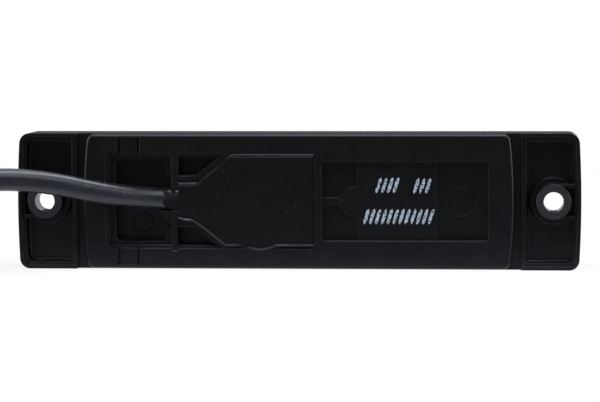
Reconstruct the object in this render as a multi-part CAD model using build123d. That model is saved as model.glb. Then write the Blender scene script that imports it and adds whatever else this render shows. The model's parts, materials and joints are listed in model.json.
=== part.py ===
from build123d import *
from math import atan2, cos, radians, sin, tan
import os

# A flat position lamp for a vehicle, with its potted cable. X runs along the lamp, Z is up and the
# rear mounting plane is Y = 0, so every depth below is measured from there towards the lens (+Y).
# The origin is midway between the two screw holes, and the lamp stands on its long lower edge.

# Outline of the whole lamp, seen from the rear
LAMP_LENGTH = 130.0
LAMP_HEIGHT = 31.4
END_BOW = 0.5
CORNER_RADIUS = 2.4

# Main depths
HOUSING_DEPTH = 14.0
LAMP_DEPTH = 14.8
FRONT_ROUND = 0.5

# Raised rear plateau that seats on the vehicle, and the groove that parts it from the ears
PLATEAU_LENGTH = 99.4
PLATEAU_BOW = 0.9
PLATEAU_CORNER = 2.0
PLATEAU_INSET = 0.2
PLATEAU_RISE = 2.2
PLATEAU_ROUND = 0.75
GROOVE_WIDTH = 1.5

# Screw ears
EAR_RIM_DEPTH = 0.4
EAR_RIM_WALL = 0.85
EAR_LEDGE_DEPTH = 1.5
EAR_LEDGE_WIDTH = 0.7
EAR_FLOOR_DEPTH = 5.0
EAR_FLOOR_THICKNESS = 1.8
EAR_FLOOR_ROUND = 0.7
EAR_RECESS_WALL = 1.6
EAR_RECESS_CORNER = 1.2
EAR_INNER_WALL = 1.3
EAR_INNER_DROP = 0.6
HOLE_SPACING = 117.4
HOLE_DIAMETER = 4.6
BOSS_DIAMETER = 8.0
BOSS_DRAFT = 0.3
COLLAR_DIAMETER = 11.2
COLLAR_HEIGHT = 0.9
COLLAR_ROUND = 0.4
BOSS_RIB = 0.8
BOSS_RIB_DEPTH = 1.0

# Moulded walls
REAR_WALL = 1.5
SIDE_WALL = 2.1
CAVITY_CORNER = 1.7
POCKET_WALL = 1.3

# Cable pocket, strain-relief wall and potting funnel on the left
POCKET_MARGIN_X = 5.2
POCKET_MARGIN_Z = 4.8
POCKET_WIDTH = 15.3
POCKET_DEPTH = 6.0
MOUTH_CORNER = 1.4
MOUTH_DEPTH = 0.8
MOUTH_LEDGE = 0.7
POCKET_STEP_DEPTH = 2.4
POCKET_STEP_WIDTH = 1.5
POCKET_STEP_HEIGHT = 0.8
STRAIN_WALL = 1.6
STRAIN_WALL_OVERRUN = 0.6
GUSSET_REACH = 3.0
GUSSET_DROP = 3.5
GUSSET_DEPTH = 1.0
WALL_TOP_DEPTH = 0.25
THROAT_LENGTH = 4.4
THROAT_HALF = 4.7
FUNNEL_LENGTH = 7.8
FUNNEL_WALL = 1.2
CHAMBER_LENGTH = 19.3
SIDE_WELL_DEPTH = 4.5
RESIN_DEPTH = 0.45
SPILL_DEPTH = 0.1
SPILL_WIDTH = 1.5
SPILL_LAP = 0.9
SPILL_MARGIN = 0.3
CORE_SLOT_LENGTH = 7.0
CORE_SLOT_HEIGHT = 9.0
CORE_SLOT_INSET = 6.5

# Break-out channels for a cable that leaves upwards or downwards
CHANNEL_INSET = 2.8
CHANNEL_WIDTH = 5.1
CHANNEL_MARGIN = 1.0
CHANNEL_DEPTH = 0.45
CHANNEL_SLIT = 0.5
CHANNEL_SLIT_DEPTH = 1.1

# Mould marks on the pocket floors
PIN_MARK_RADIUS = 2.5
PIN_MARK_DROP = 5.0
RING_MARK_RADIUS = 3.3
RING_MARK_INSET = 6.1
MARK_WIDTH = 0.35
MARK_DEPTH = 0.2

# Shallow stepped pocket on the right
SHALLOW_GAP = 1.6
SHALLOW_MARGIN_X = 5.9
SHALLOW_MARGIN_Z = 6.6
SHALLOW_CORNER = 0.8
SHALLOW_DEPTH = 2.6
PANEL_DEPTH = 1.5
PANEL_INSET_LEFT = 8.2
PANEL_INSET_RIGHT = 11.9
GATE_PAD_REACH = 4.6
GATE_PAD_HALF = 3.4
GATE_RUNNER_LENGTH = 4.2
GATE_RUNNER_WIDTH = 1.5
GATE_RUNNER_DEPTH = 1.9
GATE_NUB_RADIUS = 0.45
GATE_NUB_HEIGHT = 0.7

# Clear lens, set into the front of the housing and welded to a ledge
LENS_SEAT_DEPTH = 9.0
LENS_RIM = 1.4
LENS_WALL = 1.8
LENS_FRONT = 2.0
LENS_ROUND = 0.7
LENS_CORNER = 1.6
LENS_CORNER_INSIDE = 1.0
WELD_CLEARANCE = 0.1
FLUTE_PITCH = 4.0
FLUTE_HEIGHT = 0.5
FLUTE_MARGIN = 3.5

# Circuit board and what is on it, with the parts on its back placed from its right-hand peg
BOARD_MARGIN_X = 2.6
BOARD_MARGIN_Z = 1.3
BOARD_THICKNESS = 1.0
BOARD_CORNER = 1.0
PEG_INSET = 6.0
PEG_DIAMETER = 2.0
PEG_PROUD = 0.6
PEG_POST_DIAMETER = 4.4
PEG_CLEARANCE = 0.1
LED_COUNT = 3
LED_SPACING = 24.0
LED_LENGTH = 3.5
LED_HEIGHT = 2.8
LED_RISE = 1.5
EMITTER_DIAMETER = 2.3
EMITTER_DEPTH = 0.7
EMITTER_DOME = 0.15
RESISTOR_SIZE = (3.2, 0.6, 1.6)
RESISTOR_SPACING = 3.4
RESISTOR_INSET = 23.0
DIODE_SIZE = (4.4, 2.2, 2.6)
DIODE_INSET = 15.0
CAPACITOR_SIZE = (3.2, 1.7, 2.5)
CAPACITOR_INSET = 8.0

# Metallised reflector in front of the board
REFLECTOR_INSET_X = 1.0
REFLECTOR_INSET_Z = 0.7
REFLECTOR_CORNER = 1.5
REFLECTOR_WALL = 0.8
REFLECTOR_LIFT = 1.0
BOWL_RADIUS_BACK = 3.0
BOWL_RADIUS_FRONT = 6.0
BOWL_HEIGHT = 2.0

# Two-core cable: the stretch up to the coil, with its points chosen by hand as offsets from its exit
CABLE_DIAMETER = 5.2
CABLE_CLEARANCE = 0.05
CABLE_AXIS_DEPTH = 2.9
CABLE_AXIS_Z = 0.35
LEAD_OFFSETS = [
    (9.2, 0.0, 0.0),
    (-3.8, 0.0, 0.0),
    (-15.3, -6.3, 1.55),
    (-27.3, -11.7, 4.65),
    (-39.8, -16.3, 5.65),
    (-49.8, -20.9, 3.25),
    (-60.8, -23.9, -0.45),
    (-71.7, -23.9, -0.45),
]
CORE_DIAMETER = 1.9
CORE_GAP = 2.2
SOLDER_GAP = 4.0
WIRE_DIAMETER = 1.2
WIRE_LENGTH = 5.0
SOLDER_HEIGHT = 0.8
SOLDER_FLARE = 0.5

# Tied coil that holds the rest of the cable, on the floor beside the lamp
COIL_RADIUS = 26.0
COIL_EDGE = 1.5
COIL_START_DROP = 5.3
TAIL_FROM_ANGLE = 150.0
TAIL_END = (-6.0, 17.5)
TAIL_CORE_TURNS = [((4.0, 19.3), (12.5, 13.5)), ((4.0, 15.0), (9.0, 8.5))]
TIE_ANGLE = 215.0
TIE_WIDTH = 3.6
TIE_THICKNESS = 0.5
TIE_CLEARANCE = 0.15
TIE_HEAD = (4.6, 5.0, 3.4)

# Places that follow from the sizes above
half_height = LAMP_HEIGHT / 2
floor_z = -half_height
plateau_half = PLATEAU_LENGTH / 2
groove_end = plateau_half + GROOVE_WIDTH
ear_start = groove_end + EAR_INNER_WALL
ear_front = EAR_FLOOR_DEPTH + EAR_FLOOR_THICKNESS
hole_x = HOLE_SPACING / 2
boss_radius = BOSS_DIAMETER / 2

pocket_half = half_height - POCKET_MARGIN_Z
pocket_left = -plateau_half + POCKET_MARGIN_X
strain_left = pocket_left + POCKET_WIDTH
strain_right = strain_left + STRAIN_WALL
throat_end = strain_right + THROAT_LENGTH
chamber_left = throat_end + FUNNEL_LENGTH
chamber_right = chamber_left + CHAMBER_LENGTH
core_slot_x = chamber_right - CORE_SLOT_INSET
channel_left = pocket_left + CHANNEL_INSET
channel_end = half_height - CHANNEL_MARGIN

shallow_left = chamber_right + SHALLOW_GAP
shallow_right = plateau_half - SHALLOW_MARGIN_X
shallow_half = half_height - SHALLOW_MARGIN_Z
panel_left = shallow_left + PANEL_INSET_LEFT
panel_right = shallow_right - PANEL_INSET_RIGHT

cavity_length = PLATEAU_LENGTH - 2 * SIDE_WALL
cavity_height = LAMP_HEIGHT - 2 * SIDE_WALL
board_length = cavity_length - 2 * BOARD_MARGIN_X
board_height = cavity_height - 2 * BOARD_MARGIN_Z
board_back = POCKET_DEPTH + POCKET_WALL
board_front = board_back + BOARD_THICKNESS
peg_x = board_length / 2 - PEG_INSET
reflector_length = board_length - 2 * REFLECTOR_INSET_X
reflector_height = board_height - 2 * REFLECTOR_INSET_Z
reflector_back = board_front + REFLECTOR_LIFT

cable_radius = CABLE_DIAMETER / 2
cable_exit = (strain_left, CABLE_AXIS_DEPTH, CABLE_AXIS_Z)
lead_route = [tuple(a + b for a, b in zip(cable_exit, offset)) for offset in LEAD_OFFSETS]
coil_centre = (lead_route[-1][0], lead_route[-1][1] + COIL_RADIUS)
coil_top = lead_route[-1][2] + cable_radius
led_places = [(index - (LED_COUNT - 1) / 2) * LED_SPACING for index in range(LED_COUNT)]


def rectangle(left, right, low, high):
    """Plain rear-view rectangle between two X and two Z places."""
    return Pos((left + right) / 2, (low + high) / 2) * Rectangle(right - left, high - low)


def rounded(left, right, low, high, corner):
    """Rear-view rectangle with round corners."""
    return Pos((left + right) / 2, (low + high) / 2) * RectangleRounded(right - left, high - low, corner)


def bowed(length, height, bow, corner):
    """Rear-view rectangle whose two short ends bow outwards."""
    straight = length / 2 - bow
    top = height / 2
    sides = [
        Line((-straight, top), (straight, top)),
        ThreePointArc((straight, top), (length / 2, 0), (straight, -top)),
        Line((straight, -top), (-straight, -top)),
        ThreePointArc((-straight, -top), (-length / 2, 0), (-straight, top)),
    ]
    face = make_face(sides)
    return fillet(face.vertices(), corner)


def slab(sketch, near, far):
    """Solid that carries a rear-view sketch from one depth to another."""
    return extrude(Plane.XZ.offset(-near) * sketch, amount=far - near, dir=(0, 1, 0))


def disc(x, z, radius, near, far):
    """Round slab at one place of the rear view."""
    return slab(Pos(x, z) * Circle(radius), near, far)


def cone(x, z, radius_near, radius_far, near, far):
    """Cone along the depth, with its own radius at each end."""
    body = Cone(bottom_radius=radius_far, top_radius=radius_near, height=far - near)
    return Pos(x, (near + far) / 2, z) * Rot(90, 0, 0) * body


def brick(x, z, size, near):
    """Small block whose rear face is at the given depth, sized (X, Y, Z)."""
    return Pos(x, near + size[1] / 2, z) * Box(*size)


def ring_mark(x, z, radius, depth):
    """Shallow round groove that an ejector pin leaves in a floor."""
    ring = Circle(radius) - Circle(radius - MARK_WIDTH)
    return slab(Pos(x, z) * ring, depth, depth + MARK_DEPTH)


def ear_cavity(inset, near, far):
    """Hollow of the right-hand ear, a constant wall inside the lamp's outline."""
    inner = bowed(LAMP_LENGTH - 2 * inset, LAMP_HEIGHT - 2 * inset, END_BOW, CORNER_RADIUS - inset / 2)
    reach = rectangle(ear_start, LAMP_LENGTH / 2, -half_height, half_height)
    return slab(inner & reach, near, far)


def ear_solid():
    """Rim of the right-hand ear, from the groove outwards."""
    outline = bowed(LAMP_LENGTH, LAMP_HEIGHT, END_BOW, CORNER_RADIUS)
    rim = slab(
        outline & rectangle(groove_end, LAMP_LENGTH / 2, -half_height, half_height),
        EAR_RIM_DEPTH,
        PLATEAU_RISE,
    )
    saddle = rectangle(groove_end, ear_start, EAR_RIM_WALL - half_height, half_height - EAR_RIM_WALL)
    return rim - slab(saddle, EAR_RIM_DEPTH, EAR_RIM_DEPTH + EAR_INNER_DROP)


def ear_hollow():
    """Stepped hollow of the right-hand ear, round at the foot of its walls."""
    mouth = ear_cavity(EAR_RIM_WALL, 0, EAR_LEDGE_DEPTH)
    well = ear_cavity(EAR_RIM_WALL + EAR_LEDGE_WIDTH, 0, EAR_FLOOR_DEPTH)
    foot = well.faces().sort_by(Axis.Y)[-1]
    return mouth + fillet(foot.edges(), EAR_FLOOR_ROUND)


def ear_boss():
    """Screw boss of the right-hand ear, with its collar and the two ribs to the end wall."""
    boss = cone(hole_x, 0, boss_radius, boss_radius + BOSS_DRAFT, 0, EAR_FLOOR_DEPTH)
    collar = disc(hole_x, 0, COLLAR_DIAMETER / 2, EAR_FLOOR_DEPTH - COLLAR_HEIGHT, EAR_FLOOR_DEPTH)
    collar = fillet(collar.faces().sort_by(Axis.Y)[0].edges(), COLLAR_ROUND)
    rib_end = LAMP_LENGTH / 2 - EAR_RIM_WALL - END_BOW
    for side in (-1, 1):
        edge = side * (boss_radius - BOSS_RIB / 2)
        rib = rectangle(hole_x, rib_end, edge - BOSS_RIB / 2, edge + BOSS_RIB / 2)
        boss += slab(rib, BOSS_RIB_DEPTH, EAR_FLOOR_DEPTH)
    return boss + collar


def ear_recess():
    """Recess in the front of the right-hand ear that takes the screw's head."""
    wall = 2 * EAR_RECESS_WALL
    inner = bowed(LAMP_LENGTH - wall, LAMP_HEIGHT - wall, END_BOW, EAR_RECESS_CORNER)
    reach = rectangle(groove_end, LAMP_LENGTH / 2, -half_height, half_height)
    return slab(inner & reach, ear_front, HOUSING_DEPTH)


def both_ends(part):
    """A right-hand feature together with its mirror image on the left."""
    return part + mirror(part, about=Plane.YZ)


def funnel_angle():
    """Angle between the lamp's length and a sloping funnel wall."""
    return atan2(pocket_half - THROAT_HALF, FUNNEL_LENGTH)


def funnel_outer(z):
    """X of the outer face of the upper sloping funnel wall at a height."""
    corner = throat_end - FUNNEL_WALL * tan(funnel_angle() / 2)
    return corner + (z - THROAT_HALF - FUNNEL_WALL) / tan(funnel_angle())


def funnel_sketch():
    """Throat, sloping stretch and chamber that the resin fills."""
    upper = [(strain_right, THROAT_HALF), (throat_end, THROAT_HALF), (chamber_left, pocket_half)]
    corners = upper + [(chamber_right, pocket_half), (chamber_right, -pocket_half)]
    corners += [(x, -z) for x, z in reversed(upper)]
    return make_face(Polyline(*corners, close=True))


def funnel_wall_sketch(side):
    """Upper (side 1) or lower (side -1) wall of the throat and funnel."""
    outer_z = THROAT_HALF + FUNNEL_WALL
    corners = [
        (strain_right, THROAT_HALF),
        (throat_end, THROAT_HALF),
        (chamber_left, pocket_half),
        (funnel_outer(pocket_half), pocket_half),
        (funnel_outer(outer_z), outer_z),
        (strain_right, outer_z),
    ]
    return make_face(Polyline(*[(x, side * z) for x, z in corners], close=True))


def side_well_sketch(side):
    """Open well between the strain-relief wall and a funnel wall."""
    low = THROAT_HALF + FUNNEL_WALL
    high = pocket_half - MOUTH_LEDGE
    corners = [
        (strain_right, low),
        (funnel_outer(low), low),
        (funnel_outer(high), high),
        (strain_right, high),
    ]
    return make_face(Polyline(*[(x, side * z) for x, z in corners], close=True))


def core_slot():
    """Window in the chamber floor through which the cores reach the board."""
    reach = CORE_SLOT_LENGTH / 2
    height = CORE_SLOT_HEIGHT / 2
    return rectangle(core_slot_x - reach, core_slot_x + reach, -height, height)


def cable_notch():
    """Open notch in the strain-relief wall that the cable lies in."""
    radius = cable_radius + CABLE_CLEARANCE
    slot = rectangle(strain_left, strain_right, CABLE_AXIS_Z - radius, CABLE_AXIS_Z + radius)
    bed = Pos((strain_left + strain_right) / 2, CABLE_AXIS_DEPTH, CABLE_AXIS_Z)
    return slab(slot, 0, CABLE_AXIS_DEPTH) + bed * Rot(0, 90, 0) * Cylinder(radius, STRAIN_WALL)


def left_pockets():
    """Everything cut from the rear around the cable and the potting."""
    cut = slab(rounded(pocket_left, chamber_right, -pocket_half, pocket_half, MOUTH_CORNER), 0, MOUTH_DEPTH)
    overrun = pocket_half + STRAIN_WALL_OVERRUN
    cut += slab(rectangle(strain_left, strain_right, -overrun, overrun), 0, WALL_TOP_DEPTH)
    shelf_left = pocket_left + MOUTH_LEDGE
    shelf_half = pocket_half - MOUTH_LEDGE
    cut += slab(rectangle(shelf_left, strain_left, -shelf_half, shelf_half), 0, POCKET_STEP_DEPTH)
    well_half = shelf_half - POCKET_STEP_HEIGHT
    well_left = shelf_left + POCKET_STEP_WIDTH
    well_right = strain_left - POCKET_STEP_WIDTH
    cut += slab(rounded(well_left, well_right, -well_half, well_half, MOUTH_CORNER), 0, POCKET_DEPTH)
    throat = THROAT_HALF + FUNNEL_WALL
    cut += slab(rectangle(well_left, strain_left, -throat, throat), 0, POCKET_DEPTH)
    for side in (-1, 1):
        cut += slab(side_well_sketch(side), 0, SIDE_WELL_DEPTH)
        cut += channel(side)
    cut += slab(funnel_sketch(), 0, POCKET_DEPTH)
    cut += slab(core_slot(), POCKET_DEPTH, board_back)
    mark_x = (well_left + well_right) / 2
    return cut + ring_mark(mark_x, -PIN_MARK_DROP, PIN_MARK_RADIUS, POCKET_DEPTH)


def strain_gusset():
    """Three-cornered rib that backs the strain-relief wall below the cable."""
    top = CABLE_AXIS_Z - cable_radius - CABLE_CLEARANCE
    corners = [(strain_left - GUSSET_REACH, top), (strain_left, top), (strain_left, top - GUSSET_DROP)]
    return slab(make_face(Polyline(*corners, close=True)), GUSSET_DEPTH, POCKET_DEPTH)


def channel(side):
    """Scored break-out channel from the cable pocket to the upper or lower edge."""
    low, high = sorted((side * (pocket_half - MOUTH_LEDGE), side * channel_end))
    right = channel_left + CHANNEL_WIDTH
    cut = slab(rectangle(channel_left, right, low, high), 0, CHANNEL_DEPTH)
    for edge in (channel_left, right - CHANNEL_SLIT):
        cut += slab(rectangle(edge, edge + CHANNEL_SLIT, low, high), 0, CHANNEL_SLIT_DEPTH)
    return cut


def wall_tops():
    """Tops of the strain-relief and funnel walls, which stand higher than the pocket's mouth."""
    wall = rectangle(strain_left, strain_right, -pocket_half, pocket_half)
    tops = slab(wall, WALL_TOP_DEPTH, MOUTH_DEPTH)
    for side in (-1, 1):
        tops += slab(funnel_wall_sketch(side), WALL_TOP_DEPTH, MOUTH_DEPTH)
    return tops


def right_pocket():
    """Shallow pocket with a raised middle panel, gate pad and mould mark."""
    cut = slab(
        rounded(shallow_left, shallow_right, -shallow_half, shallow_half, SHALLOW_CORNER), 0, SHALLOW_DEPTH
    )
    panel = rectangle(panel_left, panel_right, -shallow_half, shallow_half)
    pad = Pos(panel_left, 0) * Ellipse(GATE_PAD_REACH, GATE_PAD_HALF)
    cut -= slab(panel + pad, PANEL_DEPTH, SHALLOW_DEPTH)
    runner_half = GATE_RUNNER_WIDTH / 2
    runner = rectangle(shallow_left, shallow_left + GATE_RUNNER_LENGTH, -runner_half, runner_half)
    cut -= slab(runner, GATE_RUNNER_DEPTH, SHALLOW_DEPTH)
    return cut + ring_mark(shallow_right - RING_MARK_INSET, 0, RING_MARK_RADIUS, SHALLOW_DEPTH)


def gate_nub():
    """Small stub that is left where the moulding gate was broken off."""
    x = panel_left - GATE_PAD_REACH + GATE_NUB_RADIUS * 2
    return cone(x, 0, GATE_NUB_RADIUS / 2, GATE_NUB_RADIUS, PANEL_DEPTH - GATE_NUB_HEIGHT, PANEL_DEPTH)


def front_cavity():
    """Space behind the lens, less the blocks that the rear pockets are sunk into, and the lens opening."""
    cavity = slab(bowed(cavity_length, cavity_height, PLATEAU_BOW, CAVITY_CORNER), REAR_WALL, LENS_SEAT_DEPTH)
    deep = rectangle(
        pocket_left - POCKET_WALL,
        chamber_right + POCKET_WALL,
        -pocket_half - POCKET_WALL,
        pocket_half + POCKET_WALL,
    )
    shallow = rectangle(
        chamber_right,
        shallow_right + POCKET_WALL,
        -shallow_half - POCKET_WALL,
        shallow_half + POCKET_WALL,
    )
    cavity -= slab(deep, REAR_WALL, board_back)
    cavity -= slab(shallow, REAR_WALL, SHALLOW_DEPTH + POCKET_WALL)
    cavity -= disc(peg_x, 0, PEG_POST_DIAMETER / 2, REAR_WALL, board_back)
    return cavity + slab(lens_outline(LENS_RIM, LENS_CORNER), LENS_SEAT_DEPTH, HOUSING_DEPTH)


def housing():
    """One-piece black moulding: plateau, ears, pockets and the seats of the board and the lens."""
    outline = bowed(LAMP_LENGTH, LAMP_HEIGHT, END_BOW, CORNER_RADIUS)
    body = slab(outline, PLATEAU_RISE, HOUSING_DEPTH)
    body = fillet(body.faces().sort_by(Axis.Y)[-1].edges(), FRONT_ROUND)
    top = bowed(PLATEAU_LENGTH, LAMP_HEIGHT - 2 * PLATEAU_INSET, PLATEAU_BOW, PLATEAU_CORNER)
    plateau = slab(top, 0, PLATEAU_RISE)
    plateau = fillet(plateau.faces().sort_by(Axis.Y)[0].edges(), PLATEAU_ROUND)
    body += plateau + both_ends(ear_solid())
    body -= both_ends(ear_hollow() + ear_recess())
    body += both_ends(ear_boss())
    body -= both_ends(disc(hole_x, 0, HOLE_DIAMETER / 2, 0, ear_front))
    body -= front_cavity()
    body -= left_pockets()
    body += wall_tops()
    body -= cable_notch()
    body += strain_gusset()
    body -= right_pocket()
    body += gate_nub()
    for side in (-1, 1):
        body += disc(side * peg_x, 0, PEG_DIAMETER / 2, board_back, board_front + PEG_PROUD)
    return body


def lens_outline(inset, corner):
    """Rear-view outline a constant distance inside the front of the lamp's middle."""
    return bowed(PLATEAU_LENGTH - 2 * inset, LAMP_HEIGHT - 2 * inset, PLATEAU_BOW, corner)


def lens_flutes(inner_length, inner_height):
    """Upright light-spreading flutes on the inside of the lens front."""
    count = int((inner_length - 2 * FLUTE_MARGIN) / FLUTE_PITCH)
    start = -count * FLUTE_PITCH / 2
    face = LAMP_DEPTH - LENS_FRONT
    edge = []
    for index in range(count):
        left = start + index * FLUTE_PITCH
        crest = (left + FLUTE_PITCH / 2, face - FLUTE_HEIGHT)
        edge.append(ThreePointArc((left, face), crest, (left + FLUTE_PITCH, face)))
    root = face + LENS_FRONT / 2
    edge.append(Polyline((-start, face), (-start, root), (start, root), (start, face)))
    profile = make_face(edge)
    height = inner_height - 2 * FLUTE_MARGIN
    return extrude(Plane.XY.offset(-height / 2) * profile, amount=height)


def lens():
    """Clear cap with rounded front edges and inside flutes."""
    outside = LENS_RIM + WELD_CLEARANCE
    inside = outside + LENS_WALL
    cap = slab(lens_outline(outside, LENS_CORNER), LENS_SEAT_DEPTH, LAMP_DEPTH)
    cap = fillet(cap.faces().sort_by(Axis.Y)[-1].edges(), LENS_ROUND)
    cap -= slab(lens_outline(inside, LENS_CORNER_INSIDE), LENS_SEAT_DEPTH, LAMP_DEPTH - LENS_FRONT)
    return cap + lens_flutes(PLATEAU_LENGTH - 2 * inside, LAMP_HEIGHT - 2 * inside)


def circuit_board():
    """Board on the housing's two pegs."""
    board = slab(RectangleRounded(board_length, board_height, BOARD_CORNER), board_back, board_front)
    for side in (-1, 1):
        board -= disc(side * peg_x, 0, PEG_DIAMETER / 2 + PEG_CLEARANCE, board_back, board_front)
    return board


def on_board_back(inset, z, size):
    """Block on the back of the board, this far in from the right-hand peg."""
    return brick(peg_x - inset, z, size, board_back - size[1])


def led_body(x):
    """White LED package with its round well."""
    size = (LED_LENGTH, LED_RISE, LED_HEIGHT)
    front = board_front + LED_RISE
    return brick(x, 0, size, board_front) - disc(x, 0, EMITTER_DIAMETER / 2, front - EMITTER_DEPTH, front)


def led_emitter(x):
    """Phosphor that fills the well of an LED."""
    front = board_front + LED_RISE
    return disc(x, 0, EMITTER_DIAMETER / 2, front - EMITTER_DEPTH, front + EMITTER_DOME)


def reflector():
    """Metallised tray on the board, with a bowl round each LED."""
    plate_front = reflector_back + REFLECTOR_WALL
    outer = RectangleRounded(reflector_length, reflector_height, REFLECTOR_CORNER)
    inner = RectangleRounded(
        reflector_length - 2 * REFLECTOR_WALL,
        reflector_height - 2 * REFLECTOR_WALL,
        REFLECTOR_CORNER - REFLECTOR_WALL / 2,
    )
    tray = slab(outer, board_front, plate_front) - slab(inner, board_front, reflector_back)
    bowl_front = reflector_back + BOWL_HEIGHT
    back = BOWL_RADIUS_BACK + REFLECTOR_WALL
    front = BOWL_RADIUS_FRONT + REFLECTOR_WALL
    for x in led_places:
        tray += cone(x, 0, back, front, reflector_back, bowl_front)
    for x in led_places:
        tray -= cone(x, 0, BOWL_RADIUS_BACK, BOWL_RADIUS_FRONT, reflector_back, bowl_front)
    return tray


def route_radii(points):
    """Bend radius at each inner point of a cable route, from the runs beside it."""
    places = [Vector(*point) for point in points]
    radii = []
    for before, here, after in zip(places, places[1:], places[2:]):
        turn = radians((here - before).get_angle(after - here))
        run = min((here - before).length, (after - here).length)
        radii.append(0.45 * run / tan(turn / 2))
    return radii


def tube(points, diameter):
    """Round cord along straight runs joined by tangent arcs."""
    radii = route_radii(points)
    path = FilletPolyline(*points, radius=radii)
    print("bend radii", [round(radius, 1) for radius in radii])
    return sweep(Plane(origin=path @ 0, z_dir=path % 0) * Circle(diameter / 2), path=path)


def rod(start, end, diameter):
    """Straight round rod between two points."""
    axis = Vector(*end) - Vector(*start)
    return extrude(Plane(origin=start, z_dir=axis) * Circle(diameter / 2), amount=axis.length)


def inner_core(side):
    """Core from the end of the sheath, under the resin, to its solder joint."""
    solder_z = CABLE_AXIS_Z + side * SOLDER_GAP / 2
    points = [
        (lead_route[0][0], CABLE_AXIS_DEPTH, CABLE_AXIS_Z + side * CORE_GAP / 2),
        (core_slot_x, CABLE_AXIS_DEPTH, solder_z),
        (core_slot_x, board_back - SOLDER_HEIGHT, solder_z),
    ]
    return tube(points, CORE_DIAMETER)


def solder_joint(side):
    """Cone of solder between a core and the back of the board."""
    radius = CORE_DIAMETER / 2
    near = board_back - SOLDER_HEIGHT
    z = CABLE_AXIS_Z + side * SOLDER_GAP / 2
    return cone(core_slot_x, z, radius, radius + SOLDER_FLARE, near, board_back)


def potting(buried):
    """Resin in the funnel, moulded round the pieces that it buries."""
    resin = slab(funnel_sketch(), RESIN_DEPTH, POCKET_DEPTH) + slab(core_slot(), POCKET_DEPTH, board_back)
    brim = rectangle(chamber_left, chamber_right, -pocket_half, pocket_half)
    resin += slab(brim, RESIN_DEPTH, MOUTH_DEPTH)
    resin += slab(spill_sketch(), SPILL_DEPTH, WALL_TOP_DEPTH)
    resin += slab(spill_sketch() & funnel_sketch(), WALL_TOP_DEPTH, RESIN_DEPTH)
    radius = cable_radius + CABLE_CLEARANCE
    plug = rectangle(strain_left, strain_right, CABLE_AXIS_Z - radius, CABLE_AXIS_Z + radius)
    resin += slab(plug, RESIN_DEPTH, CABLE_AXIS_DEPTH)
    for piece in buried:
        resin -= piece
    return resin


def spill_sketch():
    """Irregular tongue of resin that ran over the lower funnel wall."""
    foot = SPILL_MARGIN - pocket_half
    root = [
        (strain_right + SPILL_MARGIN, SPILL_LAP - THROAT_HALF),
        (throat_end, SPILL_LAP - THROAT_HALF),
        (chamber_left + SPILL_LAP, foot),
    ]
    edge = [
        (chamber_left - SPILL_WIDTH, foot),
        (throat_end + SPILL_WIDTH, -THROAT_HALF - 2 * SPILL_WIDTH),
        (throat_end - SPILL_WIDTH, -THROAT_HALF - SPILL_WIDTH / 2),
        (strain_right + SPILL_MARGIN, -THROAT_HALF - SPILL_MARGIN),
    ]
    return make_face([Polyline(*root), Line(root[-1], edge[0]), Spline(*edge), Line(edge[-1], root[0])])


def coil_point(angle, z):
    """Point on the middle of the coil's turns."""
    turn = radians(angle)
    x, y = coil_centre
    return (x + COIL_RADIUS * cos(turn), y + COIL_RADIUS * sin(turn), z)


def cable_coil():
    """Outer shape of the tied turns, stepped where the first turn comes in and nipped under the tie."""
    height = coil_top - floor_z
    block = Rectangle(CABLE_DIAMETER, height)
    section = Pos(COIL_RADIUS, floor_z + height / 2) * chamfer(block.vertices(), COIL_EDGE)
    ring = revolve(Plane.XZ * section, Axis.Z)
    reach = COIL_RADIUS + CABLE_DIAMETER
    step = Pos(reach / 2, -reach / 2, coil_top) * Box(reach, reach, 2 * COIL_START_DROP)
    nip_size = (2 * CABLE_DIAMETER, TIE_WIDTH + 2 * TIE_CLEARANCE, 2 * (TIE_THICKNESS + TIE_CLEARANCE))
    nip = Rot(0, 0, TIE_ANGLE) * Pos(COIL_RADIUS, 0, floor_z) * Box(*nip_size)
    return Pos(*coil_centre, 0) * (ring - step - nip)


def tail_end():
    """Place on the floor where the sheath is stripped."""
    return (coil_centre[0] + TAIL_END[0], coil_centre[1] + TAIL_END[1], floor_z + cable_radius)


def cable_tail(coil):
    """Last bit of sheath, which leaves the lowest turn towards the middle of the coil."""
    return rod(coil_point(TAIL_FROM_ANGLE, floor_z + cable_radius), tail_end(), CABLE_DIAMETER) - coil


def tail_core_route(index):
    """Points of one bare core from the end of the sheath."""
    x, y, z = tail_end()
    spread = (1 - 2 * index) * CORE_GAP / 2
    low = floor_z + CORE_DIAMETER / 2
    turns = [(coil_centre[0] + a, coil_centre[1] + b, low) for a, b in TAIL_CORE_TURNS[index]]
    return [(x, y + spread, z)] + turns


def tail_wire(index):
    """Tinned strands at the tip of a core."""
    before, tip = [Vector(*point) for point in tail_core_route(index)[-2:]]
    return rod(tip, tip + (tip - before).normalized() * WIRE_LENGTH, WIRE_DIAMETER)


def coil_tie():
    """Flat strap round the turns, with its head on the outside."""
    gap = 2 * TIE_CLEARANCE
    width = CABLE_DIAMETER + gap
    seat = floor_z + TIE_THICKNESS
    height = coil_top - seat + TIE_CLEARANCE
    middle = seat + height / 2
    inner = Pos(COIL_RADIUS, middle) * RectangleRounded(width, height, COIL_EDGE)
    outer_size = (width + 2 * TIE_THICKNESS, height + 2 * TIE_THICKNESS)
    outer = Pos(COIL_RADIUS, middle) * RectangleRounded(*outer_size, COIL_EDGE + TIE_THICKNESS)
    strap = extrude(Plane.XZ * (outer - inner), amount=TIE_WIDTH / 2, both=True)
    head_x = COIL_RADIUS - width / 2 - TIE_THICKNESS - TIE_HEAD[0] / 2
    head = Pos(head_x, 0, middle) * fillet(Box(*TIE_HEAD).edges(), TIE_THICKNESS)
    return Pos(*coil_centre, 0) * Rot(0, 0, TIE_ANGLE) * (strap + head)


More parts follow.
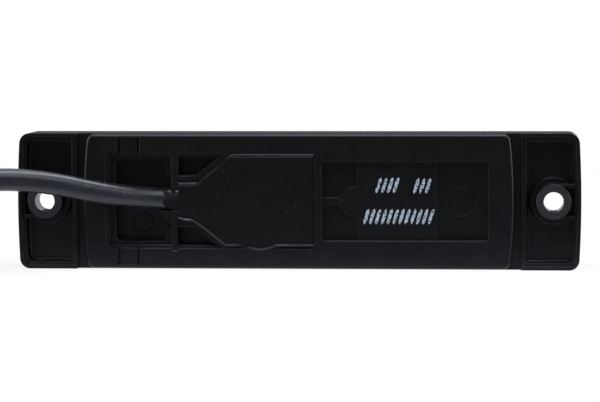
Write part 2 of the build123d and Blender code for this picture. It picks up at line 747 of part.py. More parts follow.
def nodes():
    """Every piece of the lamp by name."""
    coil = cable_coil()
    lead = tube(lead_route, CABLE_DIAMETER)
    cores = {"inner_core_positive": inner_core(1) - lead, "inner_core_negative": inner_core(-1) - lead}
    joints = {"solder_joint_positive": solder_joint(1), "solder_joint_negative": solder_joint(-1)}
    pieces = {
        "housing": housing(),
        "lens": lens(),
        "reflector": reflector(),
        "circuit_board": circuit_board(),
        "potting": potting([lead, *cores.values(), *joints.values()]),
        "cable_lead": lead,
        "cable_coil": coil,
        "cable_tail": cable_tail(coil),
        "coil_tie": coil_tie(),
    }
    pieces.update(cores)
    pieces.update(joints)
    for index, x in enumerate(led_places, start=1):
        pieces[f"led_{index}"] = led_body(x)
        pieces[f"led_emitter_{index}"] = led_emitter(x)
    for index in range(3):
        z = (index - 1) * RESISTOR_SPACING
        pieces[f"resistor_{index + 1}"] = on_board_back(RESISTOR_INSET, z, RESISTOR_SIZE)
    pieces["diode"] = on_board_back(DIODE_INSET, 0, DIODE_SIZE)
    pieces["capacitor"] = on_board_back(CAPACITOR_INSET, 0, CAPACITOR_SIZE)
    for index, name in enumerate(("positive", "negative")):
        pieces[f"tail_core_{name}"] = tube(tail_core_route(index), CORE_DIAMETER) - pieces["cable_tail"]
        pieces[f"tail_wire_{name}"] = tail_wire(index)
    return pieces


os.makedirs("parts", exist_ok=True)
for name, shape in nodes().items():
    export_step(shape, f"parts/{name}.step")
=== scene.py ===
import json
import math

import bmesh
import bpy
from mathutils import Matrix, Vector, noise


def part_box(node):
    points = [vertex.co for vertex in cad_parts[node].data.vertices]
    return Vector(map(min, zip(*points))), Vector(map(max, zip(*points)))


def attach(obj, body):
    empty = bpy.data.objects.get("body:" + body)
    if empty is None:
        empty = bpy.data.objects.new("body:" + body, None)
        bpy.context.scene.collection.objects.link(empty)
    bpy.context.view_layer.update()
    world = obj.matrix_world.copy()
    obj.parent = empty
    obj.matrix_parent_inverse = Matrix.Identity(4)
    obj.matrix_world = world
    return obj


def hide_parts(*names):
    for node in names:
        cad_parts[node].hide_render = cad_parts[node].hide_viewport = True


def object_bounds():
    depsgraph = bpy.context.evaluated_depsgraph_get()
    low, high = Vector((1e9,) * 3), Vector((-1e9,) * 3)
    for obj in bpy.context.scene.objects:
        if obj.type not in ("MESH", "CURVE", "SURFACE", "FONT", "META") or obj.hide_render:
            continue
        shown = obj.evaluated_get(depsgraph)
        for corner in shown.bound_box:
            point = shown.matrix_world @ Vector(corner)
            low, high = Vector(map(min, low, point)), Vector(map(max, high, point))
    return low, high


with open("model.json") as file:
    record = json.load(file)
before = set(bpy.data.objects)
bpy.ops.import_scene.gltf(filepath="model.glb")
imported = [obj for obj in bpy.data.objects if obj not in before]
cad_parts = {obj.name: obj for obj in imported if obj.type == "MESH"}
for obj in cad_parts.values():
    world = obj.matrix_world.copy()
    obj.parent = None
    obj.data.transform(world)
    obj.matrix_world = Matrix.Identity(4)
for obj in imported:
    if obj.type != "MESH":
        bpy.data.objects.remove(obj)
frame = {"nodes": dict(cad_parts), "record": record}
cad_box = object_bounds()

# All sizes are in metres, in the frame of the solids.
# X runs along the lamp, Y from the rear plane to the lens and Z up.
MM = 0.001

# Cable: its exit from the strain-relief wall, and its route up to the coil as offsets from there
CABLE_DIAMETER = 0.0052
CABLE_EXIT = (-0.0292, 0.0029, 0.00035)
LEAD_OFFSETS = [
    (0.0092, 0.0, 0.0),
    (0.0030, 0.0, 0.0),
    (-0.0038, 0.0, 0.0),
    (-0.0153, -0.0063, 0.00155),
    (-0.0273, -0.0117, 0.00465),
    (-0.0398, -0.0163, 0.00565),
    (-0.0498, -0.0209, 0.00325),
    (-0.0608, -0.0239, -0.00045),
    (-0.0717, -0.0239, -0.00045),
]
COIL_RADIUS = 0.026
COIL_START_ANGLE = 270.0
COIL_STEP_ANGLE = 22.5
COIL_STEPS = 38
INWARD_STEPS = 6
INWARD_REACH = 0.0061
TAIL_END = (-0.0060, 0.0175)
CABLE_ROUNDNESS = 8
CABLE_SMOOTHNESS = 10
CABLE_ORDER = 3

# Resin surface: the outline of the funnel and the wavy edge where the resin ran over its lower wall
STRAIN_WALL = 0.0016
THROAT_END_X = -0.0232
THROAT_HALF = 0.0047
CHAMBER_X = -0.0154
SPILL_EDGE = [
    (-0.0276, -0.0046),
    (-0.0262, -0.0050),
    (-0.0246, -0.0051),
    (-0.0230, -0.0060),
    (-0.0213, -0.0073),
    (-0.0196, -0.0086),
    (-0.0180, -0.0099),
    (-0.0166, -0.0109),
    (-0.0128, -0.0109),
    (-0.0118, -0.0114),
    (-0.0087, -0.0120),
    (-0.0060, -0.0114),
    (-0.0050, -0.0109),
]
RESIN_OVERLAP = 0.0004
RESIN_LEVEL = 0.00008
RESIN_EDGE_DROP = 0.00044
RESIN_BEAD = 0.00042
RESIN_TOP_BEAD = 0.00035
RESIN_BEAD_PLACE = 0.00055
RESIN_BEAD_WIDTH = 0.0004
RESIN_EDGE_WIDTH = 0.0005
RESIN_WAVE = 0.00002
RESIN_FAR = 0.01
RESIN_END_STEEPNESS = 3.0
RESIN_COLUMNS = 150
RESIN_ROWS = 120

# Unevenness of the resin: how far apart its noises lie, and the length and share of each
LAYER_GAP = 0.01
WAVE_LENGTH = 0.0035
RIPPLE_LENGTH = 0.0014
RIPPLE_SHARE = 0.5
EDGE_WANDER_LENGTH = 0.004
EDGE_WANDER = 0.6
BEAD_WANDER_LENGTH = 0.005
BEAD_WANDER = 0.4
BEAD_MEAN = 0.8

# Resin that crept along the cable through the strain-relief wall
COLLAR_LEFT = -0.0320
COLLAR_RIGHT = -0.0252
COLLAR_THICKNESS = 0.0003
COLLAR_SINK = 0.0011
COLLAR_SWEEP = 100.0
COLLAR_SINK_POWER = 1.5
COLLAR_COLUMNS = 40
COLLAR_ROWS = 36
CABLE_RISE = 40.0

# Ragged end of that resin and the lumps on it
COLLAR_SET_BACK = 0.0006
COLLAR_TAPER = 0.0014
COLLAR_CROWN = 1.4
COLLAR_TUCK = 0.4
RAGGED_REACH = 0.0009
RAGGED_PITCH = 1.7
RAGGED_LAYER = 0.3
LUMP_SHARE = 0.15
LUMP_LENGTH = 0.0012
LUMP_PITCH = 1.6
LUMP_LAYER = 0.7

# Hatch of slanted ink strokes on the panel of the right-hand pocket.
# Each row has the place of its first and last stroke and its middle height.
PANEL_DEPTH = 0.0015
INK_LIFT = 0.00002
INK_PITCH = 0.00135
INK_WIDTH = 0.00075
INK_SLANT = 0.0011
INK_HEIGHT = 0.0036
INK_RAGGED = 0.00016
INK_RAGGED_LENGTH = 0.0004
INK_TAPER_POWER = 6
INK_STEPS = 14
INK_ROWS = [
    (0.0186, 0.0222, 0.0037),
    (0.0273, 0.0306, 0.0036),
    (0.0158, 0.0310, -0.0035),
]

# Wet drops of resin on the collar: place and half-lengths
DROPS = [
    ((-0.0296, 0.0007, 0.0021), (0.0006, 0.0006, 0.0006)),
    ((-0.0274, 0.0007, 0.0021), (0.0010, 0.0006, 0.0006)),
]
DROP_SEGMENTS = 24
DROP_RINGS = 16
DROP_UNEVENNESS = 0.12
DROP_BUMPS = 1.3
DROP_SPREAD = 400.0

# Finishes: tint of the gloss on the black plastics, and where the painted highlight round a screw hole fades
# out
BLUISH = (0.80, 0.87, 1.0, 1.0)
SHEEN_INNER = 0.0040
SHEEN_OUTER = 0.0042
EDGE_SAMPLES = 6

# Blender's places for the colours of a Mix node
MIX_FIRST = 6
MIX_SECOND = 7
MIX_RESULT = 2

# Camera, lights and stage: each softbox has its place, its size and its radiance
SOFTBOXES = {
    "top": ((0.05, -0.04, 0.85), (1.1, 0.36), 5.0),
    "front": ((0.05, -0.46, 0.74), (1.2, 0.6), 1.9),
    "left": ((-0.95, -0.18, 0.22), (0.5, 0.9), 7.0),
    "right": ((0.95, -0.18, 0.22), (0.5, 0.9), 7.0),
}
CAMERA_PLACE = (0.0507, -0.640, 0.0419)
CAMERA_AIM = (0.0006, 0.0, 0.00015)
CAMERA_LENS = 167.9
CAMERA_ROLL = -0.16
CAMERA_CLIP = 0.01
FLOOR_REACH = 6.0
FLOOR_NEAR = -0.017
FLOOR_FAR = -0.029
FLOOR_GREY = 0.7
FLOOR_ROUGHNESS = 0.9
SHADOW_NEAR = 0.1
SHADOW_FAR = 0.5
SHADOW_GLOW = 0.85
ROOM_DIM_TO = -0.15
ROOM_WHITE_FROM = 0.2
ROOM_FILL = 0.3
DIM = 0.12


class Paint:
    """A new material, its Principled shader and short ways to wire nodes into it."""

    def __init__(self, name):
        self.material = bpy.data.materials.new(name)
        self.material.use_nodes = True
        self.tree = self.material.node_tree
        self.shader = self.tree.nodes["Principled BSDF"]
        self.place = self.node("ShaderNodeTexCoord").outputs["Object"]

    def node(self, kind, sockets=None, **settings):
        """New node with its settings, and each named input linked or set."""
        new = self.tree.nodes.new(kind)
        for name, value in settings.items():
            setattr(new, name, value)
        for name, value in (sockets or {}).items():
            self.feed(new.inputs[name], value)
        return new

    def feed(self, socket, value):
        """Links an output to an input, or sets the input to a value."""
        if isinstance(value, bpy.types.NodeSocket):
            self.tree.links.new(value, socket)
        else:
            socket.default_value = value

    def set(self, **sockets):
        """Feeds inputs of the Principled shader, named with underscores for spaces."""
        for name, value in sockets.items():
            self.feed(self.shader.inputs[name.replace("_", " ")], value)

    def noise(self, size, detail=2.0):
        """Noise whose patches are about this size, from 0 to 1."""
        sockets = {"Vector": self.place, "Scale": 1 / size, "Detail": detail}
        return self.node("ShaderNodeTexNoise", sockets).outputs["Fac"]

    def cells(self, size):
        """Distance from the middle of scattered cells of about this size."""
        sockets = {"Vector": self.place, "Scale": 1 / size}
        return self.node("ShaderNodeTexVoronoi", sockets).outputs["Distance"]

    def span(self, value, low, high, from_low=0.3, from_high=0.7):
        """Maps a value, usually the middle of a noise, to a range from low to high."""
        sockets = {
            "Value": value,
            "From Min": from_low,
            "From Max": from_high,
            "To Min": low,
            "To Max": high,
        }
        return self.node("ShaderNodeMapRange", sockets).outputs["Result"]

    def blend(self, share, first, second):
        """Colour that goes from the first to the second with the share."""
        mix = self.node("ShaderNodeMix", data_type="RGBA")
        self.feed(mix.inputs["Factor"], share)
        self.feed(mix.inputs[MIX_FIRST], first)
        self.feed(mix.inputs[MIX_SECOND], second)
        return mix.outputs[MIX_RESULT]

    def bump(self, height, depth, normal=None):
        """Normal of a surface raised by the height times the depth."""
        sockets = {"Height": height, "Distance": depth, "Strength": 1.0}
        if normal:
            sockets["Normal"] = normal
        return self.node("ShaderNodeBump", sockets).outputs["Normal"]

    def soft_edges(self, radius):
        """Normal that rounds sharp edges by a small radius."""
        return self.node("ShaderNodeBevel", {"Radius": radius}, samples=EDGE_SAMPLES).outputs["Normal"]


def rgb(red, green, blue):
    """Opaque colour."""
    return (red, green, blue, 1.0)


def grained(name, dark, light, patch, rough, grain, grain_depth, edge=0.00012):
    """Material whose colour and roughness wander in patches, with a fine grain and softened edges."""
    paint = Paint(name)
    paint.set(Base_Color=paint.blend(paint.span(paint.noise(patch, 4.0), 0.0, 1.0), rgb(*dark), rgb(*light)))
    paint.set(Roughness=paint.span(paint.noise(patch / 3, 3.0), *rough))
    paint.set(Normal=paint.bump(paint.noise(grain), grain_depth, paint.soft_edges(edge)))
    return paint


def housing_black():
    """Black moulded plastic: grain, sink waves and dust, a painted highlight round the screws, rougher above
    and below.
    """
    paint = Paint("housing_black")
    patches = paint.span(paint.noise(0.005, 4.0), 0.0, 1.0)
    wander = paint.blend(patches, rgb(0.0022, 0.0023, 0.0027), rgb(0.0036, 0.0038, 0.0044))
    # A lighter colour round each screw hole is a painted highlight, standing in for the brighter sheen of the
    # boss faces.
    hole = (frame["record"]["mounts"][0]["dims"]["spacing_x_mm"] * MM / 2, 0.0, 0.0)
    either_end = paint.node("ShaderNodeVectorMath", {0: paint.place}, operation="ABSOLUTE").outputs[0]
    to_hole = paint.node("ShaderNodeVectorMath", {0: either_end, 1: hole}, operation="DISTANCE")
    painted_sheen = paint.span(to_hole.outputs["Value"], 1.0, 0.0, SHEEN_INNER, SHEEN_OUTER)
    with_painted_sheen = paint.blend(painted_sheen, wander, rgb(0.0165, 0.017, 0.0195))
    dust = paint.span(paint.noise(0.0005, 1.0), 0.0, 1.0, 0.76, 0.82)
    paint.set(Base_Color=paint.blend(dust, with_painted_sheen, rgb(0.012, 0.0125, 0.014)))
    facing = paint.node("ShaderNodeNewGeometry").outputs["True Normal"]
    upright = paint.node("ShaderNodeVectorMath", {0: facing, 1: (0.0, 0.0, 1.0)}, operation="DOT_PRODUCT")
    level = paint.node("ShaderNodeMath", {0: upright.outputs["Value"]}, operation="ABSOLUTE").outputs[0]
    smooth = paint.span(paint.noise(0.002, 3.0), 0.26, 0.36)
    rougher = paint.span(level, 0.0, 0.55, 0.9, 0.99)
    paint.set(Roughness=paint.node("ShaderNodeMath", {0: smooth, 1: rougher}, operation="ADD").outputs[0])
    paint.set(Specular_IOR_Level=0.28, Specular_Tint=BLUISH)
    sink = paint.bump(paint.noise(0.009), 0.00003, paint.soft_edges(0.0003))
    paint.set(Normal=paint.bump(paint.noise(0.00016), 0.000003, sink))
    return paint.material


def resin(name, rough, specular):
    """Cured resin with slow waves, small bubbles and specks."""
    paint = Paint(name)
    specks = paint.span(paint.cells(0.0016), 1.0, 0.0, 0.06, 0.11)
    rare = paint.span(paint.noise(0.006, 2.0), 0.0, 1.0, 0.52, 0.62)
    chosen = paint.node("ShaderNodeMath", {0: specks, 1: rare}, operation="MULTIPLY").outputs[0]
    patches = paint.span(paint.noise(0.004, 3.0), 0.0, 1.0)
    shade = paint.blend(patches, rgb(0.0016, 0.0017, 0.0020), rgb(0.0028, 0.0029, 0.0033))
    paint.set(Base_Color=paint.blend(chosen, shade, rgb(0.03, 0.031, 0.033)))
    paint.set(Roughness=paint.span(paint.noise(0.0012, 4.0), *rough))
    paint.set(Specular_IOR_Level=specular, Specular_Tint=BLUISH)
    waves = paint.bump(paint.noise(0.0045, 1.0), 0.000015)
    dimples = paint.bump(paint.noise(0.0009, 3.0), 0.000002, waves)
    paint.set(Normal=paint.bump(chosen, 0.00002, dimples))
    return paint.material


def cable_black():
    """Satin soft sheath, faintly uneven."""
    paint = Paint("cable_black")
    uneven = paint.span(paint.noise(0.0018, 3.0), 0.0, 1.0)
    paint.set(Base_Color=paint.blend(uneven, rgb(0.0080, 0.0085, 0.0110), rgb(0.0110, 0.0117, 0.0150)))
    paint.set(Roughness=paint.span(paint.noise(0.0015, 3.0), 0.22, 0.32))
    paint.set(Specular_IOR_Level=0.55, Specular_Tint=BLUISH)
    paint.set(Normal=paint.bump(paint.noise(0.0003), 0.000005, paint.bump(paint.noise(0.0025), 0.00002)))
    return paint.material


def lens_clear():
    """Clear acrylic with faint handling haze."""
    paint = Paint("lens_clear")
    paint.set(Base_Color=rgb(0.95, 0.97, 0.975), Transmission_Weight=1.0, IOR=1.49)
    paint.set(Roughness=paint.span(paint.noise(0.006, 4.0), 0.02, 0.07))
    return paint.material


def reflector_bright():
    """Vapour-metallised tray with slight orange peel."""
    paint = Paint("reflector_bright")
    paint.set(Metallic=1.0)
    paint.set(Base_Color=paint.blend(paint.noise(0.01, 3.0), rgb(0.82, 0.83, 0.84), rgb(0.92, 0.92, 0.93)))
    paint.set(Roughness=paint.span(paint.noise(0.003, 3.0), 0.06, 0.16))
    paint.set(Normal=paint.bump(paint.noise(0.0012, 1.0), 0.000006))
    return paint.material


def board_white():
    """White solder mask with the raised tracks under it."""
    paint = Paint("board_white")
    track = paint.node(
        "ShaderNodeTexBrick",
        {"Vector": paint.place, "Scale": 90.0, "Mortar Size": 0.012, "Brick Width": 0.9, "Row Height": 0.35},
    ).outputs["Fac"]
    paint.set(Base_Color=paint.blend(track, rgb(0.8, 0.81, 0.79), rgb(0.66, 0.69, 0.66)))
    paint.set(Roughness=paint.span(paint.noise(0.002), 0.28, 0.4))
    paint.set(Normal=paint.bump(track, 0.00003))
    return paint.material


def ink_pale():
    """Pale blue marking ink, thin and mottled where it has rubbed off the black."""
    paint = Paint("ink_pale")
    mottle = paint.span(paint.noise(0.0005, 3.0), 0.0, 1.0)
    tint = paint.blend(mottle, rgb(0.17, 0.21, 0.28), rgb(0.34, 0.41, 0.50))
    worn = paint.span(paint.noise(0.0004, 3.0), 1.0, 0.0, 0.36, 0.48)
    paint.set(Base_Color=paint.blend(worn, tint, rgb(0.02, 0.024, 0.032)))
    paint.set(Roughness=paint.span(paint.noise(0.0004), 0.5, 0.7))
    return paint.material


def finishes():
    """The material of every slot of the record, and the matt and wet resin of the collar and its drops."""
    # Each look has its dark and light colour, patch size, range of roughness, grain size and grain depth.
    metal = grained("solder", (0.55, 0.56, 0.57), (0.7, 0.7, 0.7), 0.001, (0.2, 0.35), 0.0003, 0.00001)
    wire_look = ((0.52, 0.52, 0.5), (0.7, 0.7, 0.68), 0.0008, (0.25, 0.4), 0.0002, 0.00004)
    strands = grained("tinned_wire", *wire_look)
    for paint in (metal, strands):
        paint.set(Metallic=1.0)
    fill = grained("phosphor", (0.8, 0.6, 0.1), (0.88, 0.72, 0.2), 0.0006, (0.25, 0.4), 0.0001, 0.000004)
    fill.set(Subsurface_Weight=0.2)
    plain = {
        "led_white": ((0.82, 0.82, 0.8), (0.9, 0.9, 0.88), 0.001, (0.4, 0.55), 0.0001, 0.000004),
        "chip_black": ((0.018, 0.018, 0.02), (0.03, 0.03, 0.032), 0.0012, (0.5, 0.65), 0.0001, 0.000008),
        "chip_tan": ((0.36, 0.25, 0.16), (0.46, 0.34, 0.23), 0.001, (0.45, 0.6), 0.0001, 0.000006),
        "core_brown": ((0.13, 0.05, 0.02), (0.19, 0.08, 0.035), 0.002, (0.35, 0.5), 0.0003, 0.00001),
        "core_white": ((0.66, 0.66, 0.62), (0.78, 0.78, 0.75), 0.002, (0.35, 0.5), 0.0003, 0.00001),
        "tie_black": ((0.01, 0.01, 0.011), (0.018, 0.018, 0.02), 0.002, (0.35, 0.5), 0.0002, 0.00001),
    }
    made = {slot: grained(slot, *look).material for slot, look in plain.items()}
    made.update(solder=metal.material, tinned_wire=strands.material, phosphor=fill.material)
    made["resin_black"] = resin("resin_black", (0.20, 0.32), 0.34)
    made["resin_matt"] = resin("resin_matt", (0.50, 0.65), 0.18)
    made["resin_wet"] = resin("resin_wet", (0.08, 0.14), 0.8)
    for maker in (housing_black, cable_black, lens_clear, reflector_bright, board_white, ink_pale):
        made[maker.__name__] = maker()
    return made


def new_mesh(name, shape, material):
    """Object from a finished bmesh, riding on the lamp with its material."""
    mesh = bpy.data.meshes.new(name)
    shape.to_mesh(mesh)
    shape.free()
    piece = bpy.data.objects.new(name, mesh)
    bpy.context.collection.objects.link(piece)
    piece.data.materials.append(material)
    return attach(piece, "root")


def dress_nodes(made):
    """Gives every solid the finish of its slot."""
    for entry in frame["record"]["subparts"]:
        node = frame["nodes"][entry["node"]]
        for place in node.material_slots:
            place.material = made[entry["material_slot"]]


def cable_points():
    """Control points of the whole cable: the lead, the turns of the coil and the tail inside it."""
    points = [tuple(a + b for a, b in zip(CABLE_EXIT, offset)) for offset in LEAD_OFFSETS]
    start_x, start_y, start_z = points[-1]
    centre_x, centre_y = start_x, start_y + COIL_RADIUS
    end_z = cad_box[0].z + CABLE_DIAMETER / 2
    for step in range(1, COIL_STEPS + 1):
        turn = math.radians(COIL_START_ANGLE - step * COIL_STEP_ANGLE)
        inward = max(0.0, (step - COIL_STEPS + INWARD_STEPS) / INWARD_STEPS)
        radius = COIL_RADIUS - INWARD_REACH * inward**2
        z = start_z + (end_z - start_z) * step / COIL_STEPS
        points.append((centre_x + radius * math.cos(turn), centre_y + radius * math.sin(turn), z))
    points.append((centre_x + TAIL_END[0], centre_y + TAIL_END[1], end_z))
    return points


def cable(made):
    """The whole cable as one smooth round cord."""
    curve = bpy.data.curves.new("cable", "CURVE")
    curve.dimensions = "3D"
    curve.bevel_depth = CABLE_DIAMETER / 2
    curve.bevel_resolution = CABLE_ROUNDNESS
    curve.resolution_u = CABLE_SMOOTHNESS
    curve.use_fill_caps = True
    spline = curve.splines.new("NURBS")
    points = cable_points()
    spline.points.add(len(points) - 1)
    for point, place in zip(spline.points, points):
        point.co = (*place, 1.0)
    spline.order_u = CABLE_ORDER
    spline.use_endpoint_u = True
    piece = bpy.data.objects.new("cable", curve)
    bpy.context.collection.objects.link(piece)
    curve.materials.append(made["cable_black"])
    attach(piece, "root")
    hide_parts("cable_lead", "cable_coil", "cable_tail")


def along(points, x):
    """Height of an open outline at a place along the lamp."""
    for (left, low), (right, high) in zip(points, points[1:]):
        if left <= x <= right:
            return low + (high - low) * (x - left) / (right - left)
    return points[-1][1]


def eased(count):
    """Shares from 0 to 1 that lie closer together at both ends."""
    return [0.5 - 0.5 * math.cos(math.pi * index / count) for index in range(count + 1)]


def sheet_of(grid):
    """Smooth open sheet through a grid of points, facing the rear."""
    sheet = bmesh.new()
    rows = [[sheet.verts.new(point) for point in line] for line in grid]
    for first, second in zip(rows, rows[1:]):
        for index in range(len(first) - 1):
            face = sheet.faces.new((first[index], first[index + 1], second[index + 1], second[index]))
            face.smooth = True
    sheet.normal_update()
    if sum(face.normal.y for face in sheet.faces) > 0:
        bmesh.ops.reverse_faces(sheet, faces=sheet.faces)
    return sheet


def resin_surface(made):
    """Thin wavy skin on the potting: rounded off at the walls and run over the lower one."""
    low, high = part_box("potting")
    left = low.x + STRAIN_WALL
    roof = high.z + RESIN_OVERLAP
    upper = [(left, THROAT_HALF), (THROAT_END_X, THROAT_HALF), (CHAMBER_X, roof), (high.x, roof)]
    lower = SPILL_EDGE + [(high.x, -high.z)]
    grid = []
    for x in [left + (high.x - left) * share for share in eased(RESIN_COLUMNS)]:
        floor_z, roof_z = along(lower, x), along(upper, x)
        line = []
        for z in [floor_z + (roof_z - floor_z) * share for share in eased(RESIN_ROWS)]:
            rim = min(roof_z - z, z - floor_z)
            edge = min(rim, RESIN_END_STEEPNESS * (high.x - x))
            top = roof_z - z if x > CHAMBER_X else RESIN_FAR
            line.append((x, resin_depth(x, z, edge, rim, top), z))
        grid.append(line)
    return new_mesh("resin_surface", sheet_of(grid), made["resin_black"])


def resin_collar(made):
    """Resin that crept out along the cable, thin at its ragged end, and sinks into the funnel."""
    wall_right = CABLE_EXIT[0] + STRAIN_WALL
    grid = []
    for column in range(COLLAR_COLUMNS + 1):
        x = COLLAR_LEFT + (COLLAR_RIGHT - COLLAR_LEFT) * column / COLLAR_COLUMNS
        before = max(0.0, CABLE_EXIT[0] - x)
        after = max(0.0, x - wall_right) / (COLLAR_RIGHT - wall_right)
        middle_y = CABLE_EXIT[1] - CABLE_RISE * before**2 + COLLAR_SINK * after**COLLAR_SINK_POWER
        line = []
        for row in range(COLLAR_ROWS + 1):
            turn = math.radians(COLLAR_SWEEP * (2 * row / COLLAR_ROWS - 1))
            ragged = RAGGED_REACH * noise.noise(Vector((turn * RAGGED_PITCH, RAGGED_LAYER, 0.0)))
            share = min(1.0, max(0.0, (x - COLLAR_LEFT - COLLAR_SET_BACK - ragged) / COLLAR_TAPER))
            lump = LUMP_SHARE * noise.noise(Vector((x / LUMP_LENGTH, turn * LUMP_PITCH, LUMP_LAYER)))
            radius = CABLE_DIAMETER / 2 + COLLAR_THICKNESS * ((COLLAR_CROWN + lump) * share - COLLAR_TUCK)
            line.append((x, middle_y - radius * math.cos(turn), CABLE_EXIT[2] + radius * math.sin(turn)))
        grid.append(line)
    return new_mesh("resin_collar", sheet_of(grid), made["resin_matt"])


def resin_drops(made):
    """Wet drops of resin on top of the collar, a little uneven."""
    drops = bmesh.new()
    for place, half in DROPS:
        counts = {"u_segments": DROP_SEGMENTS, "v_segments": DROP_RINGS}
        for vert in bmesh.ops.create_uvsphere(drops, radius=1.0, **counts)["verts"]:
            swell = 1.0 + DROP_UNEVENNESS * noise.noise(vert.co * DROP_BUMPS + Vector(place) * DROP_SPREAD)
            vert.co = Vector(place) + Vector(a * b for a, b in zip(vert.co, half)) * swell
    for face in drops.faces:
        face.smooth = True
    return new_mesh("resin_drops", drops, made["resin_wet"])


def wander(x, z, layer, length):
    """Smooth noise from about -1 to 1 at a place, different in each layer."""
    return noise.noise(Vector((x, z, layer * LAYER_GAP)) / length)


def resin_depth(x, z, edge, rim, top):
    """Depth of the resin's surface, from the distances to its nearest, long and upper edges."""
    ripple = wander(x, z, 0, WAVE_LENGTH) + RIPPLE_SHARE * wander(x, z, 1, RIPPLE_LENGTH)
    width = RESIN_EDGE_WIDTH * (1.0 + EDGE_WANDER * wander(x, z, 2, EDGE_WANDER_LENGTH))
    drop = RESIN_EDGE_DROP * math.exp(-((edge / width) ** 2))
    swell = BEAD_MEAN + BEAD_WANDER * wander(x, z, 3, BEAD_WANDER_LENGTH)
    bead = sum(
        swell * height * math.exp(-(((away - RESIN_BEAD_PLACE) / RESIN_BEAD_WIDTH) ** 2))
        for height, away in ((RESIN_BEAD, rim), (RESIN_TOP_BEAD, top))
    )
    return RESIN_LEVEL + drop - bead + RESIN_WAVE * ripple * min(1.0, edge / RESIN_EDGE_WIDTH)


def ink_hatch(made):
    """Rows of slanted strokes of marking ink with ragged sides."""
    hatch = bmesh.new()
    depth = PANEL_DEPTH - INK_LIFT
    for first, last, middle in INK_ROWS:
        for stroke in range(round((last - first) / INK_PITCH) + 1):
            x = first + stroke * INK_PITCH
            rungs = []
            for step in range(INK_STEPS + 1):
                share = step / INK_STEPS - 0.5
                z = middle + INK_HEIGHT * share
                wide = INK_WIDTH / 2 * (1.0 - (2 * share) ** INK_TAPER_POWER)
                rung = []
                for side in (-1, 1):
                    ragged = INK_RAGGED * noise.noise(Vector((x, side, z)) / INK_RAGGED_LENGTH)
                    rung.append(hatch.verts.new((x + INK_SLANT * share + side * wide + ragged, depth, z)))
                rungs.append(rung)
            for (left, right), (next_left, next_right) in zip(rungs, rungs[1:]):
                hatch.faces.new((left, right, next_right, next_left))
    return new_mesh("ink_hatch", hatch, made["ink_pale"])


def point_at(piece, target):
    """Turns a lamp or camera towards a point."""
    piece.rotation_euler = (Vector(target) - piece.location).to_track_quat("-Z", "Y").to_euler()


def camera():
    """The photograph's view of the rear, slightly from above and from the right."""
    data = bpy.data.cameras.new("camera")
    data.lens = CAMERA_LENS
    data.clip_start = CAMERA_CLIP
    piece = bpy.data.objects.new("camera", data)
    piece.location = CAMERA_PLACE
    point_at(piece, CAMERA_AIM)
    piece.rotation_euler.rotate_axis("Z", math.radians(CAMERA_ROLL))
    bpy.context.collection.objects.link(piece)
    bpy.context.scene.camera = piece


def softbox(name, place, size, radiance):
    """Rectangular lamp of the given brightness, turned to the object."""
    data = bpy.data.lights.new(name, "AREA")
    data.shape = "RECTANGLE"
    data.size, data.size_y = size
    data.energy = math.pi * size[0] * size[1] * radiance
    piece = bpy.data.objects.new(name, data)
    piece.location = place
    point_at(piece, (0.0, 0.0, 0.0))
    bpy.context.collection.objects.link(piece)


def seen_directly(tree):
    """Light-path node, and a share that is 1 for what the camera sees directly, in gloss or through glass."""
    path = tree.nodes.new("ShaderNodeLightPath")
    total = path.outputs["Is Camera Ray"]
    for name in ("Is Glossy Ray", "Is Transmission Ray"):
        larger = tree.nodes.new("ShaderNodeMath")
        larger.operation = "MAXIMUM"
        tree.links.new(total, larger.inputs[0])
        tree.links.new(path.outputs[name], larger.inputs[1])
        total = larger.outputs[0]
    return path, total


def ramp(tree, value, from_low, from_high, low, high):
    """Number that goes from low to high as the value crosses a range."""
    new = tree.nodes.new("ShaderNodeMapRange")
    tree.links.new(value, new.inputs["Value"])
    for name, number in (("From Min", from_low), ("From Max", from_high), ("To Min", low), ("To Max", high)):
        new.inputs[name].default_value = number
    return new.outputs["Result"]


def mixed(tree, share, first, second):
    """Number that goes from the first to the second with the share."""
    mix = tree.nodes.new("ShaderNodeMix")
    tree.links.new(share, mix.inputs["Factor"])
    for name, value in (("A", first), ("B", second)):
        if isinstance(value, bpy.types.NodeSocket):
            tree.links.new(value, mix.inputs[name])
        else:
            mix.inputs[name].default_value = value
    return mix.outputs["Result"]


def white_room():
    """White behind the lamp and to the camera everywhere, dim towards the side that the camera is on."""
    world = bpy.data.worlds.new("room")
    bpy.context.scene.world = world
    world.use_nodes = True
    tree = world.node_tree
    background = tree.nodes["Background"]
    path, direct = seen_directly(tree)
    split = tree.nodes.new("ShaderNodeSeparateXYZ")
    tree.links.new(tree.nodes.new("ShaderNodeTexCoord").outputs["Generated"], split.inputs[0])
    ahead = ramp(tree, split.outputs["Y"], ROOM_DIM_TO, ROOM_WHITE_FROM, DIM, 1.0)
    to_eye = mixed(tree, path.outputs["Is Camera Ray"], ahead, 1.0)
    background.inputs["Color"].default_value = rgb(1.0, 1.0, 1.0)
    tree.links.new(mixed(tree, direct, ROOM_FILL, to_eye), background.inputs["Strength"])


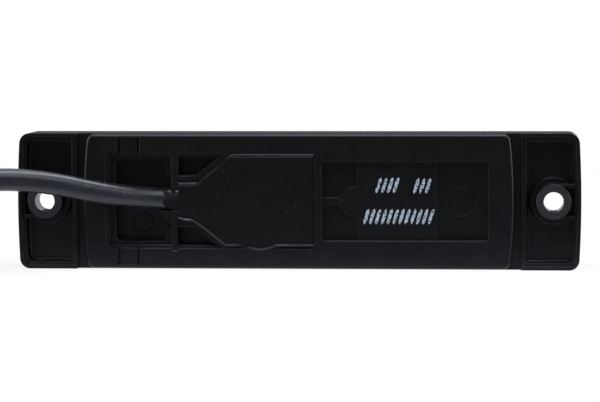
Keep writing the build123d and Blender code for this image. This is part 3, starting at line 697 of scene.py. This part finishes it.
def floor():
    """Plain floor, white to the eye but for a soft shadow, and dim in gloss towards the camera's side."""
    level = cad_box[0].z
    corners = [(x * FLOOR_REACH, y * FLOOR_REACH, level) for x, y in ((-1, -1), (1, -1), (1, 1), (-1, 1))]
    mesh = bpy.data.meshes.new("floor")
    mesh.from_pydata(corners, [], [(0, 1, 2, 3)])
    piece = bpy.data.objects.new("floor", mesh)
    bpy.context.collection.objects.link(piece)
    material = bpy.data.materials.new("floor")
    material.use_nodes = True
    tree = material.node_tree
    shader = tree.nodes["Principled BSDF"]
    shader.inputs["Base Color"].default_value = rgb(FLOOR_GREY, FLOOR_GREY, FLOOR_GREY)
    shader.inputs["Roughness"].default_value = FLOOR_ROUGHNESS
    path, direct = seen_directly(tree)
    place = tree.nodes.new("ShaderNodeTexCoord").outputs["Object"]
    split = tree.nodes.new("ShaderNodeSeparateXYZ")
    tree.links.new(place, split.inputs[0])
    ahead = ramp(tree, split.outputs["Y"], FLOOR_FAR, FLOOR_NEAR, DIM, 1.0)
    glow = tree.nodes.new("ShaderNodeEmission")
    tree.links.new(mixed(tree, path.outputs["Is Camera Ray"], ahead, 1.0), glow.inputs["Strength"])
    away = tree.nodes.new("ShaderNodeVectorMath")
    away.operation = "LENGTH"
    tree.links.new(place, away.inputs[0])
    fade = ramp(tree, away.outputs["Value"], SHADOW_NEAR, SHADOW_FAR, SHADOW_GLOW, 1.0)
    mix = tree.nodes.new("ShaderNodeMixShader")
    tree.links.new(mixed(tree, direct, 0.0, fade), mix.inputs["Fac"])
    tree.links.new(shader.outputs[0], mix.inputs[1])
    tree.links.new(glow.outputs[0], mix.inputs[2])
    tree.links.new(mix.outputs[0], tree.nodes["Material Output"].inputs["Surface"])
    piece.data.materials.append(material)


def stage():
    """Floor, room, lamps and camera."""
    floor()
    white_room()
    for name, (place, size, radiance) in SOFTBOXES.items():
        softbox(name, place, size, radiance)
    camera()
    bpy.context.scene.view_settings.view_transform = "Standard"


finish_of = finishes()
dress_nodes(finish_of)
cable(finish_of)
resin_surface(finish_of)
resin_collar(finish_of)
resin_drops(finish_of)
ink_hatch(finish_of)
stage()
